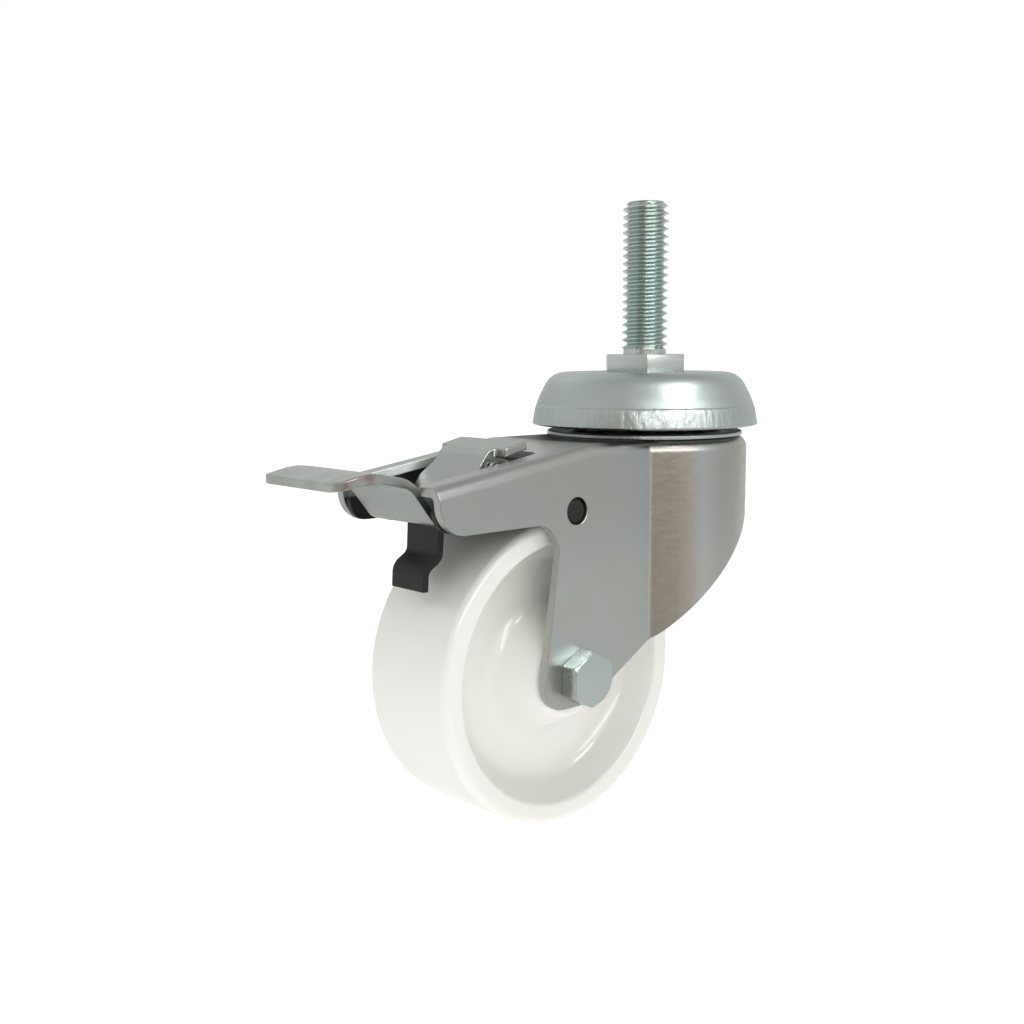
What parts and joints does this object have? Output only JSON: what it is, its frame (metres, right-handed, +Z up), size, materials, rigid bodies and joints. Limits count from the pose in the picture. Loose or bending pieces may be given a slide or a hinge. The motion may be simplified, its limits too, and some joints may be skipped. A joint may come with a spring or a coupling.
{
  "type": "braked stem castor",
  "caption": "Swivel castor with a threaded stem, a hard white wheel in a bent sheet fork, and a foot pedal that locks both the wheel and the swivel.",
  "frame": {"origin": "on the swivel axis, at the top face of the hex collar", "axes": "+Z up the stem along the swivel axis, +X towards the fork's nose and away from the pedal, -Y towards the head of the axle bolt"},
  "size_m": [0.1455, 0.0636, 0.1632],
  "materials": {
    "zinc_sheet": "bright zinc plating, slightly blue, with faint streaks",
    "zinc_bar": "bright zinc plating on turned steel",
    "ball_steel": "polished",
    "black_steel": "satin black coating",
    "wheel_nylon": "white, soft gloss",
    "insert_nylon": "white, matt"
  },
  "bodies": {
    "head": {"stem_stud": "zinc_bar", "swivel_cup": "zinc_sheet", "upper_race": "zinc_sheet", "lower_cup": "zinc_sheet", "lock_ring": "zinc_sheet", "kingpin_washer": "zinc_sheet"},
    "fork": {"fork": "zinc_sheet", "race_plate": "zinc_sheet", "upper_balls": "ball_steel", "lower_balls": "ball_steel", "brake_bracket": "zinc_sheet", "pedal_pin": "zinc_bar", "axle_bolt": "zinc_bar", "axle_nut": "zinc_sheet", "nut_insert": "insert_nylon", "axle_tube": "zinc_sheet", "thrust_washers": "zinc_sheet"},
    "wheel": {"wheel": "wheel_nylon"},
    "pedal": {"brake_pedal": "zinc_sheet"},
    "lever": {"brake_lever": "black_steel", "lever_studs": "black_steel"}
  },
  "joints": [
    {"name": "swivel", "type": "hinge", "parent": "head", "child": "fork", "pos_m": [0, 0, -0.0224], "axis": [0, 0, 1], "continuous": true},
    {"name": "wheel_spin", "type": "hinge", "parent": "fork", "child": "wheel", "pos_m": [-0.0458, 0, -0.0812], "axis": [0, 1, 0], "continuous": true},
    {"name": "pedal_rock", "type": "hinge", "parent": "fork", "child": "pedal", "pos_m": [-0.0615, 0, -0.0302], "axis": [0, -1, 0], "range_deg": [0, 16.2]},
    {"name": "lever_rock", "type": "hinge", "parent": "fork", "child": "lever", "pos_m": [-0.0471, 0, -0.0387], "axis": [0, -1, 0], "range_deg": [0, 6.9]}
  ],
  "couplings": [
    {"joint": "lever_rock", "follows": "pedal_rock", "ratio": 0.42}
  ]
}
